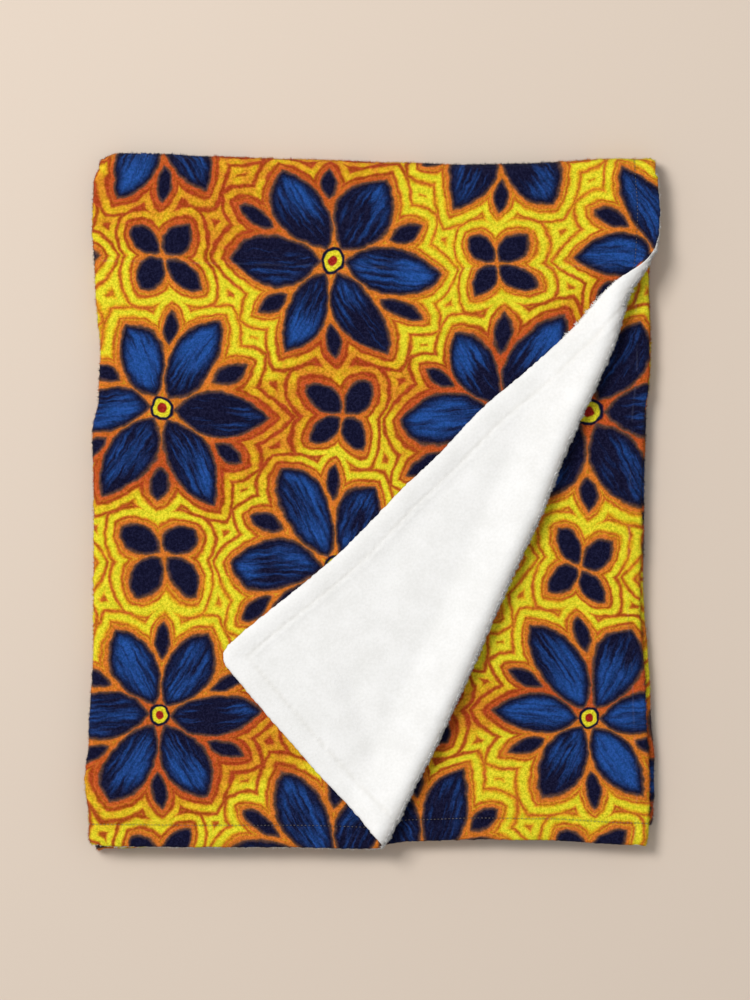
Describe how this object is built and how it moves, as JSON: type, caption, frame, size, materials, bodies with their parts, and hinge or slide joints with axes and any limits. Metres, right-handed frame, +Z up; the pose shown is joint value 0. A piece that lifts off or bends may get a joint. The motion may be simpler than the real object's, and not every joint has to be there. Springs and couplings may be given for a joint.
{
  "type": "folded fleece throw blanket",
  "caption": "Hemmed fleece throw blanket folded in three and in half, with one corner of its top layer turned back.",
  "frame": {"origin": "centre of the blanket's footprint, on the surface it lies on", "axes": "+Z up through the layers, +Y towards the half fold at the back, +X towards the covering panel's free hem"},
  "size_m": [0.5256, 0.6378, 0.0437],
  "materials": {
    "printed_fleece": "brushed, matt",
    "white_reverse": "brushed, matt",
    "sewing_thread": "spun polyester"
  },
  "bodies": {
    "root": {"blanket": "printed_fleece"}
  },
  "joints": []
}
